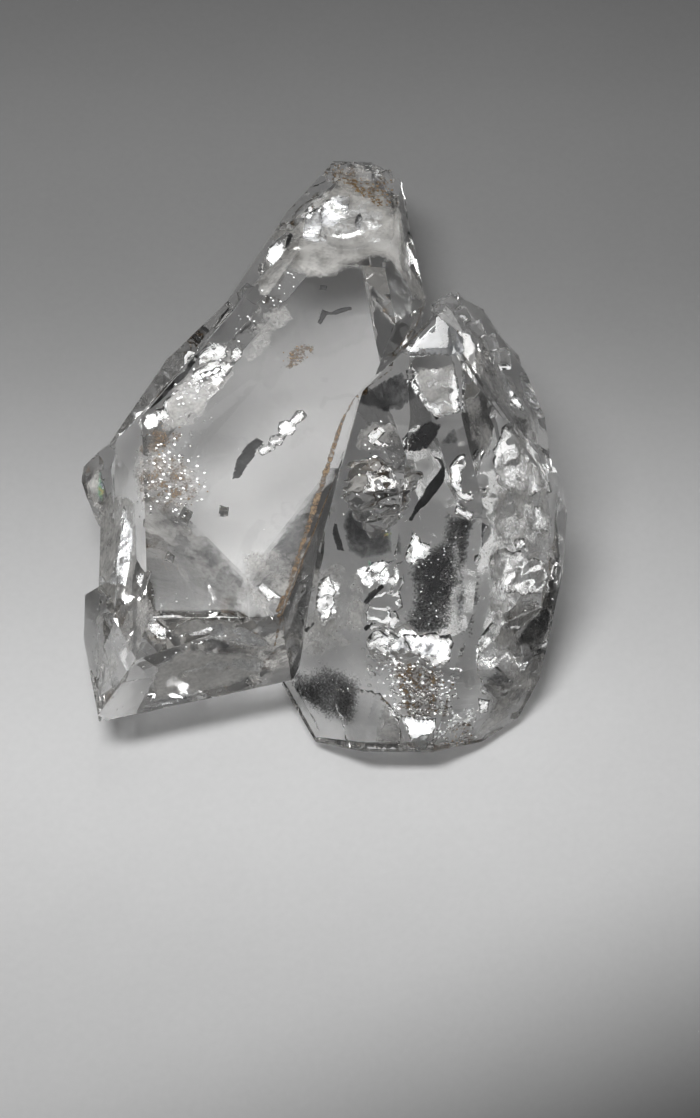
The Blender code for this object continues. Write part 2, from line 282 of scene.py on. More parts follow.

# Thin veils inside the quartz, painted shade and painted colour flashes among them: finish, depth, ripple,
# ragged, cover, width of its faint rim, outline
VEILS = {
    # Dark sheets, partly real carbon dust and partly painted shade where facets turn the view to the dark
    # room; black_corner is painted shade
    "heart": ("carbon_dust", 3.8, 0.05, 0.10, 0.55, 0.7, [
        (396, 632), (391, 598), (398, 568), (422, 550), (436, 536), (442, 504), (462, 510), (479, 514),
        (484, 552), (482, 594), (476, 638), (436, 644), (412, 642),
    ]),
    "heart_right": ("carbon_dust", 2.6, 0.03, 0.05, 0.50, 0.4, [
        (456, 640), (452, 600), (452, 540), (456, 514), (478, 514), (484, 552), (482, 600), (474, 640),
    ]),
    "dusty_corner": ("carbon_dust", 2.5, 0.03, 0.04, 0.46, 0.9, [
        (282, 690), (294, 673), (318, 658), (344, 662), (370, 676), (378, 690), (366, 710), (352, 726),
        (318, 728), (296, 720),
    ]),
    "far_dark": ("carbon_dust", 1.5, 0.03, 0.10, 0.66, 0.3, [
        (512, 648), (522, 628), (538, 610), (550, 602), (553, 618), (546, 642), (530, 650),
    ]),
    "low_dark": ("carbon_dust", 2.0, 0.03, 0.10, 0.5, 0.4, [
        (484, 676), (500, 664), (522, 680), (512, 702), (494, 708), (482, 694),
    ]),
    "black_corner": ("carbon_dust", 1.4, 0.01, 0.01, 0.84, 0.05, [
        (408, 452), (409, 437), (416, 427), (430, 420), (443, 424), (436, 438), (428, 449), (420, 452),
    ]),
    # Painted shade: grey sheets where the facets show the dark room or the shadowed floor; the two
    # triangles darken the back facets of the V
    "grey_corner": ("carbon_haze", 1.4, 0.01, 0.02, 0.40, 0.15, [
        (436, 446), (446, 430), (458, 424), (459, 445),
    ]),
    "window_grey": ("carbon_haze", 2.5, 0.02, 0.05, 0.46, 0.4, [
        (341, 522), (348, 498), (372, 500), (394, 518), (394, 558), (362, 564), (344, 554),
    ]),
    "blue_triangle": ("carbon_haze", 30, 0.0, 0.0, 0.40, 0.12, [
        (250, 580), (262, 562), (290, 520), (322, 482), (318, 506), (300, 556), (282, 600), (264, 588),
    ]),
    "grey_triangle": ("carbon_haze", 30, 0.0, 0.0, 0.30, 0.12, [
        (146, 520), (186, 514), (246, 578), (238, 614), (180, 620), (147, 612),
    ]),
    "flow_white": ("silver_film", 0.6, 0.06, 0.10, 0.36, 0.2, [
        (146, 656), (176, 642), (230, 654), (268, 660), (262, 674), (210, 670), (160, 678),
    ]),
    "lower_milk": ("milky_veil", 0.5, 0.04, 0.10, 0.60, 0.5, [
        (150, 668), (180, 646), (262, 652), (270, 672), (232, 688), (150, 704),
    ]),
    # Painted shade where the facets show the dark room
    "right_painted_shade": ("carbon_haze", 1.2, 0.02, 0.10, 0.42, 0.3, [
        (503, 424), (512, 408), (530, 416), (530, 438), (514, 442),
    ]),
    # Painted shade over the dark facets of the crown
    "crown_shade": ("carbon_haze", 0.7, 0.01, 0.01, 0.46, 0.05, [
        (358, 399), (386, 379), (402, 370), (418, 396), (401, 411), (384, 412),
    ]),
    "narrow_shade": ("carbon_haze", 0.7, 0.01, 0.01, 0.2, 0.08, [
        (460, 372), (468, 370), (478, 396), (470, 400), (464, 392),
    ]),
    "narrow_milk": ("milky_veil", 0.5, 0.02, 0.05, 0.42, 0.3, [
        (462, 396), (480, 392), (496, 440), (488, 464), (466, 444),
    ]),
    "mirror_white": ("silver_film", 0.15, 0.0, 0.01, 0.80, 0.05, [
        (405, 355), (418, 336), (441, 319), (464, 338), (465, 350), (462, 357),
    ]),
    "tip_pale": ("milky_veil", 0.3, 0.02, 0.05, 0.44, 0.3, [
        (330, 190), (336, 168), (366, 162), (392, 168), (396, 196), (364, 200),
    ]),
    "tip_milk": ("milky_veil", 1.0, 0.03, 0.10, 0.70, 0.9, [
        (280, 272), (292, 226), (318, 188), (345, 180), (392, 186), (406, 240), (414, 292), (370, 268),
        (320, 284),
    ]),
    "tip_white": ("silver_film", 0.8, 0.02, 0.05, 0.52, 0.2, [
        (318, 232), (320, 206), (332, 196), (352, 193), (350, 212), (336, 228),
    ]),
    "tip_streak": ("silver_film", 0.7, 0.03, 0.10, 0.46, 0.2, [
        (298, 252), (302, 216), (324, 204), (320, 238), (310, 262),
    ]),
    "tip_lens_white": ("silver_film", 0.5, 0.02, 0.05, 0.52, 0.12, [
        (265, 262), (268, 247), (291, 229), (286, 245), (276, 264),
    ]),
    "tip_left_milk": ("milky_veil", 0.6, 0.03, 0.10, 0.60, 0.3, [
        (250, 292), (260, 258), (284, 228), (304, 210), (302, 250), (284, 274), (268, 298),
    ]),
    "tip_soft_white": ("silver_film", 0.6, 0.05, 0.10, 0.30, 0.4, [
        (300, 230), (330, 196), (384, 198), (396, 240), (368, 262), (336, 262),
    ]),
    "edge_milk": ("milky_veil", 0.5, 0.03, 0.10, 0.52, 0.4, [
        (390, 200), (400, 196), (420, 262), (428, 300), (412, 306), (398, 262),
    ]),
    "upper_cloud": ("milky_veil", 1.4, 0.03, 0.15, 0.34, 0.8, [
        (230, 360), (244, 316), (272, 292), (302, 286), (300, 322), (274, 356), (248, 388),
    ]),
    "left_milk": ("milky_veil", 0.9, 0.05, 0.15, 0.44, 0.4, [
        (142, 430), (170, 386), (204, 352), (236, 342), (240, 370), (218, 400), (198, 424), (164, 440),
    ]),
    "bar_white": ("silver_film", 0.8, 0.02, 0.05, 0.46, 0.15, [
        (196, 376), (220, 364), (222, 372), (204, 381),
    ]),
    "pink_white": ("silver_film", 0.8, 0.02, 0.05, 0.40, 0.2, [
        (142, 426), (146, 412), (158, 410), (162, 424), (150, 432),
    ]),
    "sparkle_milk": ("milky_veil", 1.5, 0.05, 0.20, 0.34, 0.5, [
        (128, 474), (144, 440), (176, 434), (200, 462), (210, 484), (196, 510), (160, 520), (134, 500),
    ]),
    "bud_milk": ("milky_veil", 0.4, 0.02, 0.05, 0.34, 0.2, [
        (86, 482), (94, 466), (104, 462), (106, 500), (98, 512), (90, 502),
    ]),
    "band_milk": ("milky_veil", 0.6, 0.02, 0.05, 0.46, 0.25, [
        (98, 540), (102, 512), (112, 490), (136, 500), (138, 560), (132, 600), (112, 604), (98, 576),
    ]),
    "band_white": ("silver_film", 0.5, 0.02, 0.05, 0.46, 0.1, [
        (119, 586), (119, 540), (122, 506), (130, 510), (136, 548), (130, 588),
    ]),
    "foot_white": ("silver_film", 0.3, 0.02, 0.05, 0.46, 0.1, [
        (97, 572), (103, 574), (113, 598), (108, 604), (99, 590),
    ]),
    "foot_milk": ("milky_veil", 0.6, 0.02, 0.05, 0.30, 0.3, [
        (92, 610), (110, 606), (134, 606), (142, 650), (120, 690), (100, 700), (92, 660),
    ]),
    "corner_white": ("silver_film", 0.8, 0.03, 0.10, 0.40, 0.25, [
        (140, 616), (152, 608), (168, 624), (170, 642), (154, 640),
    ]),
    "wavy_white": ("silver_film", 0.8, 0.04, 0.10, 0.46, 0.2, [
        (176, 632), (190, 618), (214, 615), (246, 626), (274, 644), (262, 650), (236, 644), (204, 638),
    ]),
    "low_line_white": ("silver_film", 0.3, 0.01, 0.02, 0.36, 0.1, [
        (140, 709), (180, 696), (224, 687), (226, 692), (182, 702), (142, 714),
    ]),
    "wavy_milk": ("milky_veil", 1.0, 0.06, 0.20, 0.60, 0.3, [
        (168, 634), (184, 620), (214, 616), (246, 626), (274, 644), (268, 652), (236, 648), (200, 642),
    ]),
    "corner_milk": ("milky_veil", 0.9, 0.04, 0.15, 0.40, 0.3, [
        (136, 604), (150, 596), (170, 616), (172, 644), (152, 650), (138, 630),
    ]),
    "ragged_milk": ("milky_veil", 3.8, 0.05, 0.15, 0.62, 0.3, [
        (362, 644), (380, 626), (404, 620), (440, 632), (470, 636), (464, 668), (440, 672), (416, 660),
        (388, 664), (368, 658),
    ]),
    "ragged_white": ("silver_film", 3.4, 0.05, 0.15, 0.58, 0.15, [
        (366, 642), (382, 630), (404, 624), (420, 634), (440, 638), (466, 640), (461, 662), (440, 664),
        (416, 652), (388, 656), (372, 652),
    ]),
    "run_white": ("silver_film", 3.0, 0.05, 0.15, 0.50, 0.2, [
        (448, 484), (452, 462), (466, 450), (478, 478), (482, 508), (470, 500), (458, 504),
    ]),
    "low_white": ("silver_film", 1.6, 0.02, 0.05, 0.66, 0.08, [
        (400, 716), (437, 718), (435, 742), (426, 752), (414, 748), (407, 734),
    ]),
    "front_milk": ("milky_veil", 2.6, 0.03, 0.10, 0.46, 0.5, [
        (364, 706), (384, 690), (402, 712), (412, 748), (366, 748),
    ]),
    "middle_white": ("silver_film", 3.4, 0.05, 0.15, 0.48, 0.2, [
        (394, 562), (396, 534), (412, 530), (430, 544), (428, 560), (410, 568),
    ]),
    "thread_milk": ("milky_veil", 1.6, 0.04, 0.10, 0.40, 0.3, [
        (350, 452), (356, 430), (376, 418), (404, 420), (408, 448), (380, 456),
    ]),
    "left_white": ("silver_film", 2.2, 0.06, 0.12, 0.34, 0.3, [
        (312, 612), (318, 580), (328, 566), (342, 584), (340, 612), (324, 630),
    ]),
    "spark_white": ("silver_film", 2.4, 0.03, 0.10, 0.36, 0.2, [
        (352, 572), (364, 562), (396, 562), (402, 574), (392, 592), (366, 588),
    ]),
    "right_milk": ("milky_veil", 2.4, 0.05, 0.15, 0.30, 0.8, [
        (484, 470), (500, 440), (540, 470), (558, 520), (556, 566), (520, 584), (490, 540),
    ]),
    "right_glow": ("silver_film", 2.0, 0.05, 0.10, 0.22, 0.4, [
        (498, 532), (508, 500), (534, 496), (552, 518), (548, 552), (520, 560),
    ]),
    "streak_white": ("silver_film", 0.7, 0.02, 0.05, 0.44, 0.12, [
        (494, 366), (502, 368), (524, 402), (526, 414), (512, 408), (498, 384),
    ]),
    "far_streak_white": ("silver_film", 0.8, 0.02, 0.05, 0.42, 0.12, [
        (518, 374), (528, 376), (543, 404), (551, 430), (540, 430), (522, 398),
    ]),
    "upper_right_milk": ("milky_veil", 1.0, 0.03, 0.10, 0.34, 0.5, [
        (466, 352), (486, 348), (512, 372), (540, 420), (548, 460), (520, 452), (490, 404),
    ]),
    "crown_milk": ("milky_veil", 0.9, 0.02, 0.05, 0.46, 0.5, [
        (412, 362), (458, 362), (462, 414), (440, 424), (414, 398),
    ]),
    "left_side_milk": ("milky_veil", 2.6, 0.04, 0.10, 0.34, 0.6, [
        (296, 650), (310, 590), (336, 556), (366, 566), (372, 610), (366, 650), (330, 664),
    ]),
    "right_soft": ("milky_veil", 0.5, 0.03, 0.10, 0.36, 0.8, [
        (486, 450), (520, 430), (552, 480), (560, 560), (552, 640), (520, 700), (490, 716), (482, 600),
    ]),
    "right_low_milk": ("milky_veil", 2.2, 0.05, 0.15, 0.30, 0.8, [
        (478, 620), (496, 584), (514, 590), (520, 630), (548, 656), (528, 690), (498, 724), (478, 716),
    ]),
    "right_low_glow": ("silver_film", 1.8, 0.05, 0.10, 0.32, 0.4, [
        (470, 650), (490, 632), (512, 650), (536, 656), (530, 684), (504, 664), (486, 690),
    ]),
    "bevel_milk": ("milky_veil", 0.3, 0.01, 0.03, 0.40, 0.1, [
        (470, 742), (508, 718), (532, 684), (548, 650), (558, 604), (563, 612), (552, 666), (518, 724),
    ]),
    "tip_iron": ("iron_film", 0.12, 0.02, 0.10, 0.36, 0.2, [
        (334, 176), (340, 166), (356, 163), (378, 165), (390, 171), (391, 178), (374, 180), (354, 177),
    ]),
    "left_iron": ("iron_film", 1.1, 0.05, 0.20, 0.50, 0.3, [
        (142, 466), (146, 434), (164, 426), (184, 430), (178, 444), (160, 452), (164, 464),
    ]),
    "scatter_iron": ("iron_film", 1.2, 0.05, 0.20, 0.32, 0.5, [
        (132, 478), (150, 452), (176, 450), (204, 480), (198, 508), (160, 516),
    ]),
    "middle_iron": ("iron_film", 1.4, 0.05, 0.20, 0.48, 0.25, [
        (278, 368), (284, 352), (300, 344), (318, 344), (314, 354), (300, 366),
    ]),
    "druse_iron": ("iron_film", 3.0, 0.06, 0.15, 0.38, 0.5, [
        (376, 682), (374, 652), (404, 658), (430, 656), (458, 674), (454, 716), (428, 724), (398, 716),
    ]),
    "low_iron": ("iron_film", 0.9, 0.03, 0.10, 0.46, 0.2, [
        (440, 742), (446, 728), (458, 722), (472, 724), (474, 738), (456, 748),
    ]),
    "corner_iron": ("iron_film", 0.8, 0.03, 0.10, 0.36, 0.2, [
        (144, 644), (146, 618), (162, 620), (168, 640), (156, 652),
    ]),
    # Painted colour flashes: small coloured sheets that stand in for the quartz's prismatic glints
    "seam_glow": ("colour_film", 0.5, 0.01, 0.02, 0.45, 0.1, [
        (383, 532), (393, 531), (393, 536), (383, 538),
    ]),
    "violet_glow": ("colour_film", 0.6, 0.01, 0.02, 0.42, 0.1, [
        (379, 550), (392, 547), (393, 551), (381, 554),
    ]),
    "blue_glow": ("colour_film", 0.7, 0.01, 0.02, 0.42, 0.1, [
        (364, 566), (370, 557), (380, 556), (376, 570),
    ]),
    "band_glow": ("colour_film", 0.4, 0.01, 0.02, 0.42, 0.15, [
        (96, 508), (97, 476), (102, 464), (107, 486), (103, 512),
    ]),
}

# Fields of small flat bubbles that glitter: depth, how many to the square millimetre, smallest,
# largest, spread, outline
BUBBLE_FIELDS = {
    "left_sparkle": (1.2, 5.0, 0.06, 0.22, 0.5, [
        (134, 470), (150, 440), (180, 450), (196, 475), (205, 480), (196, 505), (170, 516),
        (146, 505),
    ]),
    "left_upper": (1.0, 4.0, 0.06, 0.20, 0.4, [
        (170, 410), (200, 395), (222, 402), (214, 432), (190, 450), (160, 440),
    ]),
    "left_bubbly": (0.5, 9.0, 0.10, 0.26, 0.2, [
        (200, 352), (212, 342), (226, 344), (228, 356), (214, 362), (198, 366),
    ]),
    "druse": (1.8, 10.0, 0.12, 0.40, 0.5, [
        (366, 652), (380, 648), (400, 660), (455, 676), (452, 712), (430, 720), (400, 716), (380, 690),
    ]),
    "druse_low": (0.9, 12.0, 0.10, 0.32, 0.3, [
        (442, 738), (450, 726), (470, 724), (472, 738), (456, 746),
    ]),
    "dark_dust": (2.0, 3.0, 0.05, 0.14, 0.5, [
        (290, 686), (320, 664), (370, 690), (360, 716), (300, 712),
    ]),
    "mottled_dust": (3.0, 3.5, 0.06, 0.18, 0.8, [
        (405, 600), (400, 560), (430, 530), (474, 522), (476, 560), (470, 634), (420, 640),
    ]),
    "right_dust": (2.0, 1.5, 0.05, 0.16, 1.5, [
        (480, 560), (486, 440), (540, 480), (560, 580), (540, 700), (480, 730),
    ]),
    "crown_dust": (1.5, 1.5, 0.04, 0.12, 1.0, [
        (345, 470), (400, 420), (480, 430), (480, 500), (400, 520), (350, 540),
    ]),
    "foot_dust": (0.8, 1.5, 0.04, 0.12, 0.6, [
        (92, 700), (100, 600), (150, 600), (260, 630), (260, 680),
    ]),
}

# Glittering grains in the druse and the veils: the same values again
GLITTER = {
    "druse_glitter": (2.0, 13.0, 0.08, 0.25, 0.5, [
        (400, 660), (430, 664), (458, 674), (456, 712), (430, 722), (404, 718),
    ]),
    "druse_left_glitter": (1.8, 11.0, 0.08, 0.24, 0.4, [
        (362, 650), (380, 648), (402, 658), (404, 716), (396, 716), (376, 690),
    ]),
    "low_glitter": (0.7, 18.0, 0.08, 0.22, 0.3, [
        (438, 742), (448, 724), (470, 722), (474, 738), (456, 748),
    ]),
    "left_glitter": (1.1, 7.0, 0.06, 0.20, 0.5, [
        (134, 470), (150, 440), (180, 436), (196, 460), (208, 480), (196, 505), (170, 518), (146, 505),
    ]),
    "bubbly_glitter": (0.6, 6.0, 0.05, 0.18, 0.3, [
        (150, 412), (176, 384), (200, 352), (226, 342), (230, 366), (180, 414),
    ]),
    "ledge_glitter": (0.6, 5.0, 0.05, 0.14, 0.2, [
        (230, 330), (262, 288), (290, 270), (300, 286), (262, 318), (238, 346),
    ]),
    "heart_glitter": (3.0, 2.5, 0.04, 0.12, 0.8, [
        (405, 610), (402, 570), (430, 534), (474, 522), (480, 560), (474, 640), (420, 642),
    ]),
    "crown_glitter": (1.4, 3.0, 0.05, 0.16, 0.8, [
        (348, 500), (356, 430), (404, 424), (408, 470), (392, 520), (356, 540),
    ]),
    "right_glitter": (1.6, 2.2, 0.05, 0.16, 0.8, [
        (478, 560), (484, 420), (540, 450), (560, 560), (540, 700), (482, 730),
    ]),
    "foot_glitter": (0.6, 2.5, 0.05, 0.14, 0.4, [
        (92, 710), (96, 600), (150, 590), (260, 630), (268, 684),
    ]),
    "corner_glitter": (2.0, 3.0, 0.03, 0.09, 0.5, [
        (290, 690), (320, 664), (370, 690), (360, 716), (300, 718),
    ]),
}

# Iron stain as grains: depth, how many to the square millimetre, smallest, largest, spread, outline
STAINS = {
    "tip": (0.10, 30, 0.06, 0.22, 0.10, [
        (331, 178), (336, 164), (390, 168), (393, 180), (380, 183), (358, 178), (344, 182),
    ]),
    "left_brown": (1.2, 10, 0.05, 0.16, 0.4, [
        (142, 462), (146, 434), (164, 428), (182, 430), (176, 442), (158, 450), (160, 462),
    ]),
    "left_scatter": (1.2, 2.0, 0.04, 0.12, 0.5, [
        (134, 470), (150, 440), (196, 475), (205, 480), (196, 505), (150, 500),
    ]),
    "middle_brown": (1.5, 12, 0.05, 0.16, 0.3, [
        (279, 366), (286, 352), (302, 346), (316, 346), (312, 354), (298, 366),
    ]),
    "druse_brown": (2.6, 6, 0.05, 0.16, 0.4, [
        (400, 690), (410, 668), (440, 668), (446, 690), (440, 712), (404, 710),
    ]),
    "druse_low_brown": (1.3, 14, 0.05, 0.14, 0.3, [
        (442, 738), (450, 726), (470, 724), (472, 738), (456, 746),
    ]),
    "corner_brown": (1.0, 5, 0.05, 0.14, 0.3, [(146, 640), (148, 626), (160, 640), (156, 650)]),
}

# The iron-stained seam between the two large crystals: points of the photograph and its width there
SEAM = [
    (425, 300, 2.0), (417, 325, 3.0), (395, 351, 3.0), (391, 370, 2.6), (372, 384, 3.0), (355, 397, 3.6),
    (346, 413, 5.0), (340, 427, 6.0), (330, 459, 7.0), (314, 508, 8.0), (298, 558, 7.0), (283, 607, 5.0),
    (276, 640, 3.0), (272, 655, 2.6),
]
SEAM_DEPTH = 0.5
SEAM_THICKNESS = 0.04
SEAM_RIPPLE = 0.02
SEAM_COVER = 0.62
SEAM_SOFT = 0.08
SEAM_STEP = 4           # spacing of its rows, in pixels
SEAM_WANDER = 9         # length of the swellings in its width, in pixels

# Grains: thickness, how far they lean at random, fineness, and how deep they stay under the faces
BUBBLE = (0.16, 0.12, 2, 0.03)
CRUMB = (0.7, math.pi, 1, -0.06)
SPANGLE = (0.06, 0.06, 1, 0.01)
GRAIN_CORNERS = {1: 12, 2: 42}     # corners of a grain for each fineness

# Finishes: tones, how fine their blotches and their grain are, share of the grain, contrast,
# roughness, metal
BLACK_CARBON = ("black_carbon", [(0.006, 0.006, 0.006), (0.03, 0.03, 0.032)], 1500, 9000, 0.5, 3, 0.35, 0)
FINISHES = {
    # This finish is partly real carbon dust and partly painted shade, dark sheets where the quartz shows
    # the dark room
    "carbon_dust": ([(0.02, 0.02, 0.022), (0.05, 0.05, 0.052)], 500, 9000, 0.45, 3, 0.6, 0),
    # This finish is painted shade: dark grey sheets where facets show the dark room or the shadowed floor
    "carbon_haze": ([(0.012, 0.013, 0.016), (0.02, 0.022, 0.026)], 500, 4000, 0.3, 1.6, 0.6, 0),
    "milky_veil": ([(0.82, 0.80, 0.77), (0.95, 0.94, 0.91)], 900, 5000, 0.3, 2.5, 0.4, 0),
    "silver_film": ([(0.80, 0.82, 0.86), (0.95, 0.95, 0.93)], 1100, 5000, 0.35, 3.5, 0.3, 1),
    "iron_film": (
        [(0.30, 0.19, 0.09), (0.16, 0.085, 0.03), (0.38, 0.25, 0.12)], 2200, 8000, 0.5, 5, 0.5, 0,
    ),
    # This finish is painted colour flashes that stand in for the quartz's prismatic glints
    "colour_film": ([
        (0.15, 0.35, 0.95), (0.45, 0.35, 0.85), (0.35, 0.85, 0.55), (0.9, 0.85, 0.45), (0.75, 0.35, 0.3),
    ], 1400, 3000, 0.1, 4, 0.2, 0),
}
IRON_STAIN = (
    "iron_stain", [(0.16, 0.085, 0.03), (0.36, 0.22, 0.09), (0.60, 0.42, 0.20)], 2500, 9000, 0.5, 3, 0.4, 0,
)
SILVER_GLITTER = (
    "silver_glitter", [(0.85, 0.86, 0.88), (0.96, 0.96, 0.94)], 2500, 9000, 0.5, 3, 0.28, 1,
)


def camera_pose():
    """The camera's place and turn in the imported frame."""
    turn = Matrix.Rotation(math.radians(CAMERA_TILT), 4, "X")
    return Vector(CAMERA_PLACE) * MM, turn


def sight(px, py):
    """The line of sight through a point of the photograph."""
    place, turn = camera_pose()
    focal = LENS / FILM * PHOTO_SIZE[1]
    across = (px - PHOTO_SIZE[0] / 2) / focal
    up = (PHOTO_SIZE[1] / 2 - py) / focal
    return place, (turn.to_3x3() @ Vector((across, up, -1))).normalized()


def facing(heading, tilt):
    """The direction of a face, from its heading and its tilt in degrees."""
    turn = math.radians(heading)
    lift = math.radians(tilt)
    level = math.cos(lift)
    return Vector((math.sin(turn) * level, -math.cos(turn) * level, math.sin(lift)))


def bent(way, normal):
    """A ray's way once it has gone from air into quartz."""
    ratio = 1 / QUARTZ_INDEX
    into = -way.dot(normal)
    deep = math.sqrt(1 - ratio * ratio * (1 - into * into))
    return (way * ratio + normal * (ratio * into - deep)).normalized()


def sight_inside(tree, px, py):
    """Where the line of sight enters the quartz, its way inside, and the face's direction."""
    eye, way = sight(px, py)
    place, normal, index, distance = tree.ray_cast(eye, way)
    if place is None:
        place, normal, index, distance = tree.find_nearest(eye + way * SIGHT_REACH * MM)
    if normal.dot(way) > 0:
        normal = -normal
    return place, bent(way, normal), normal


def lamp_place():
    """The middle of the lamp."""
    return (Vector(LAMP_AIM) + Vector(LAMP_WAY).normalized() * LAMP_DISTANCE) * MM


def lamp_turn(tree, px, py):
    """The direction of a crack that mirrors the lamp into the camera at a point of the photograph."""
    place, way, normal = sight_inside(tree, px, py)
    lamp_inside = -bent((place - lamp_place()).normalized(), normal)
    return (lamp_inside - way).normalized()


def hang_lamp(lamp, place, way):
    """Hangs a lamp with its back along the given way and its width from left to right."""
    back = Vector(way).normalized()
    right = (Vector((1, 0, 0)) - back * back.x).normalized()
    turn = Matrix((right, back.cross(right), back)).transposed().to_4x4()
    lamp.matrix_world = Matrix.Translation(place) @ turn


def keep_in_box(shape):
    """Moves the points of a mesh that lie outside the group's own box onto its walls."""
    low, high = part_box("quartz_cluster")
    for vert in shape.verts:
        vert.co = [min(max(value, least), most) for value, least, most in zip(vert.co, low, high)]


def drop_outside(grains, tree, corners, margin):
    """Takes out each grain with a corner that isn't inside the quartz by the margin."""
    shape = bmesh.new()
    shape.from_mesh(grains)
    shape.verts.ensure_lookup_table()
    stray = []
    for first in range(0, len(shape.verts), corners):
        block = shape.verts[first:first + corners]
        for vert in block:
            place, normal, index, distance = tree.find_nearest(vert.co)
            if (vert.co - place).dot(normal) > -margin * MM:
                stray += block
                break
    bmesh.ops.delete(shape, geom=stray, context="VERTS")
    shape.to_mesh(grains)
    shape.free()


def add_piece(name, shape, material):
    """Puts a finished mesh into the scene as a piece that rides on the group."""
    keep_in_box(shape)
    mesh = bpy.data.meshes.new(name)
    shape.to_mesh(mesh)
    shape.free()
    piece = bpy.data.objects.new(name, mesh)
    bpy.context.scene.collection.objects.link(piece)
    mesh.materials.append(material)
    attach(piece, "root")
    return piece


def slice_fine(shape, axes, step):
    """Cuts a mesh by parallel planes across each of the axes."""
    for axis in axes:
        reach = [vert.co.dot(axis) for vert in shape.verts]
        low, high = min(reach), max(reach)
        for number in range(int((high - low) / step)):
            bmesh.ops.bisect_plane(
                shape,
                geom=shape.verts[:] + shape.edges[:] + shape.faces[:],
                plane_co=axis * (low + (number + 0.5) * step),
                plane_no=axis,
                dist=1e-8,
            )


def fine_skin(node):
    """The node's mesh with flat faces made whole, sharp edges kept, and every face cut fine."""
    skin = bmesh.new()
    skin.from_mesh(node.data)
    bmesh.ops.remove_doubles(skin, verts=skin.verts, dist=2e-6)
    bmesh.ops.dissolve_limit(
        skin, angle_limit=math.radians(0.6), verts=skin.verts, edges=skin.edges
    )
    for edge in skin.edges:
        edge.smooth = edge.calc_face_angle(0) < math.radians(SHARP_EDGE)
    slice_fine(skin, [Vector((1, 0, 0)), Vector((0, 1, 0)), Vector((0, 0, 1))], CUT_STEP * MM)
    many_sided = [face for face in skin.faces if len(face.verts) > 4]
    bmesh.ops.triangulate(skin, faces=many_sided)
    skin.normal_update()
    return skin


def wear_skin(skin):
    """Slow waves over the faces, and small wear along the sharp edges."""
    for vert in skin.verts:
        flow = noise.noise_vector(vert.co / MM / WAVE_LENGTH)
        worn = vert.co + Vector(flow) * WAVE * MM
        if any(not edge.smooth for edge in vert.link_edges):
            chip = 0.5 + noise.noise(vert.co / MM / WEAR_LENGTH)
            worn -= vert.normal * max(chip, 0.1) * WEAR * MM
        vert.co = worn


def ragged_outline(points, normal, ragged, seed):
    """An outline with more points, which wander within its sheet by a ragged amount."""
    chance = random.Random(seed)
    outline = []
    for number, point in enumerate(points):
        far = points[(number + 1) % len(points)]
        length = (far - point).length
        parts = max(1, int(length / MM / RAGGED_STEP)) if ragged else 1
        for part in range(parts):
            middle = point.lerp(far, part / parts)
            if part:
                wander = Vector([chance.uniform(-1, 1) for axis in range(3)])
                wander -= normal * wander.dot(normal)
                middle = middle + wander * ragged * MM
            outline.append(middle)
    return outline


def edge_distance(place, outline):
    """How far a place lies from the nearest part of an outline."""
    nearest = 1.0
    for number, point in enumerate(outline):
        along = outline[(number + 1) % len(outline)] - point
        share = (place - point).dot(along) / max(along.length_squared, 1e-16)
        foot = point + along * min(max(share, 0), 1)
        nearest = min(nearest, (place - foot).length)
    return nearest


def outline_middle(outline):
    """The middle of an outline's points."""
    across = sum(px for px, py in outline) / len(outline)
    down = sum(py for px, py in outline) / len(outline)
    return across, down


def flat_patch(tree, outline, depth, normal, ragged, seed, grain):
    """A flat sheet inside the quartz, cut fine, that fills an outline of the photograph."""
    place, way, face_way = sight_inside(tree, *outline_middle(outline))
    middle = place + way * depth * MM
    points = []
    for px, py in outline:
        place, way, face_way = sight_inside(tree, px, py)
        far_side = tree.ray_cast(place + way * 0.01 * MM, way)
        room = far_side[3] if far_side[0] else 1.0 * MM
        reach = (middle - place).dot(normal) / way.dot(normal)
        points.append(place + way * min(max(reach, CLEAR * MM), room - CLEAR * MM))
    rim = ragged_outline(points, normal, ragged, seed)
    flat = bmesh.new()
    flat.faces.new([flat.verts.new(point) for point in rim])
    bmesh.ops.triangulate(flat, faces=flat.faces[:])
    across = normal.orthogonal().normalized()
    slice_fine(flat, [across, normal.cross(across)], grain * MM)
    flat.normal_update()
    flat.verts.index_update()
    return flat, rim


def thin_lens(target, sheet, normal, wave, gap, seed, hollow=False, cover=1, soft=SHARP_RIM):
    """Gives a flat sheet two wavy sides that meet at its rim, as a hollow or as a solid flake."""
    flat, rim = sheet
    ripple, reach = wave
    layer = target.verts.layers.float.get("cover") or target.verts.layers.float.new("cover")
    upper, lower = [], []
    for vert in flat.verts:
        if vert.is_boundary:
            shared = target.verts.new(vert.co)
            upper.append(shared)
            lower.append(shared)
            continue
        inward = edge_distance(vert.co, rim) / MM
        swell = min(1, inward / RIM)
        wander = noise.noise(vert.co / MM / reach + Vector((seed, 0, 0)))
        wander += 0.3 * noise.noise(vert.co / MM / reach * 2.8)
        lift = normal * wander * ripple * swell * MM
        half = normal * gap / 2 * swell * MM
        for side, turned in ((upper, half), (lower, -half)):
            point = target.verts.new(vert.co + lift + turned)
            point[layer] = cover * min(1, inward / soft)
            side.append(point)
    for face in flat.faces:
        corners = [vert.index for vert in face.verts]
        if face.normal.dot(normal) < 0:
            corners.reverse()
        if all(upper[number] is lower[number] for number in corners):
            continue
        if hollow:
            corners.reverse()
        over = target.faces.new([upper[number] for number in corners])
        under = target.faces.new([lower[number] for number in reversed(corners)])
        over.smooth = True
        under.smooth = True
    flat.free()


